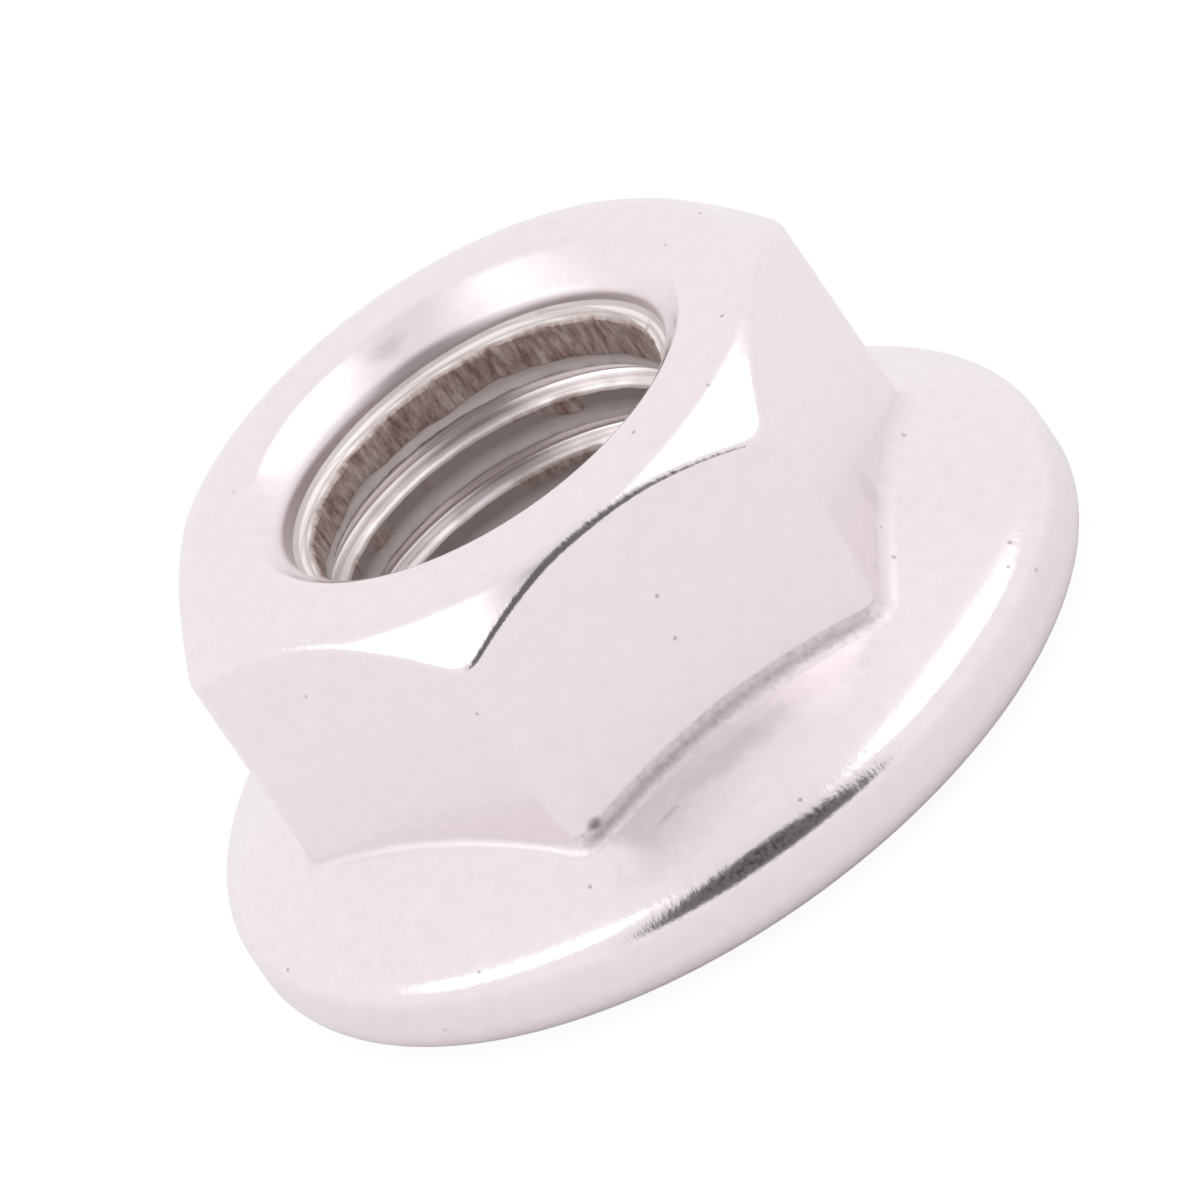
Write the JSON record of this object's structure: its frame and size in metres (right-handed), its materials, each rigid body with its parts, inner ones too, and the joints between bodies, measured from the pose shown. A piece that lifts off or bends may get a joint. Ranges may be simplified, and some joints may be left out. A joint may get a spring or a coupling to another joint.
{
  "type": "serrated flange nut",
  "caption": "Hexagon nut with an integral conical flange, chamfered crown and sawtooth serrations on its bearing side.",
  "frame": {"origin": "centre of the bearing side, on the plane of the serration crests", "axes": "+Z along the thread axis towards the crown, with two flats of the hexagon facing +Y and -Y"},
  "size_m": [0.0216, 0.0216, 0.01],
  "materials": {
    "stainless_steel": "cold-formed stainless steel, bright and softly polished, with satin flats"
  },
  "bodies": {
    "root": {"flange_nut": "stainless_steel"}
  },
  "joints": []
}
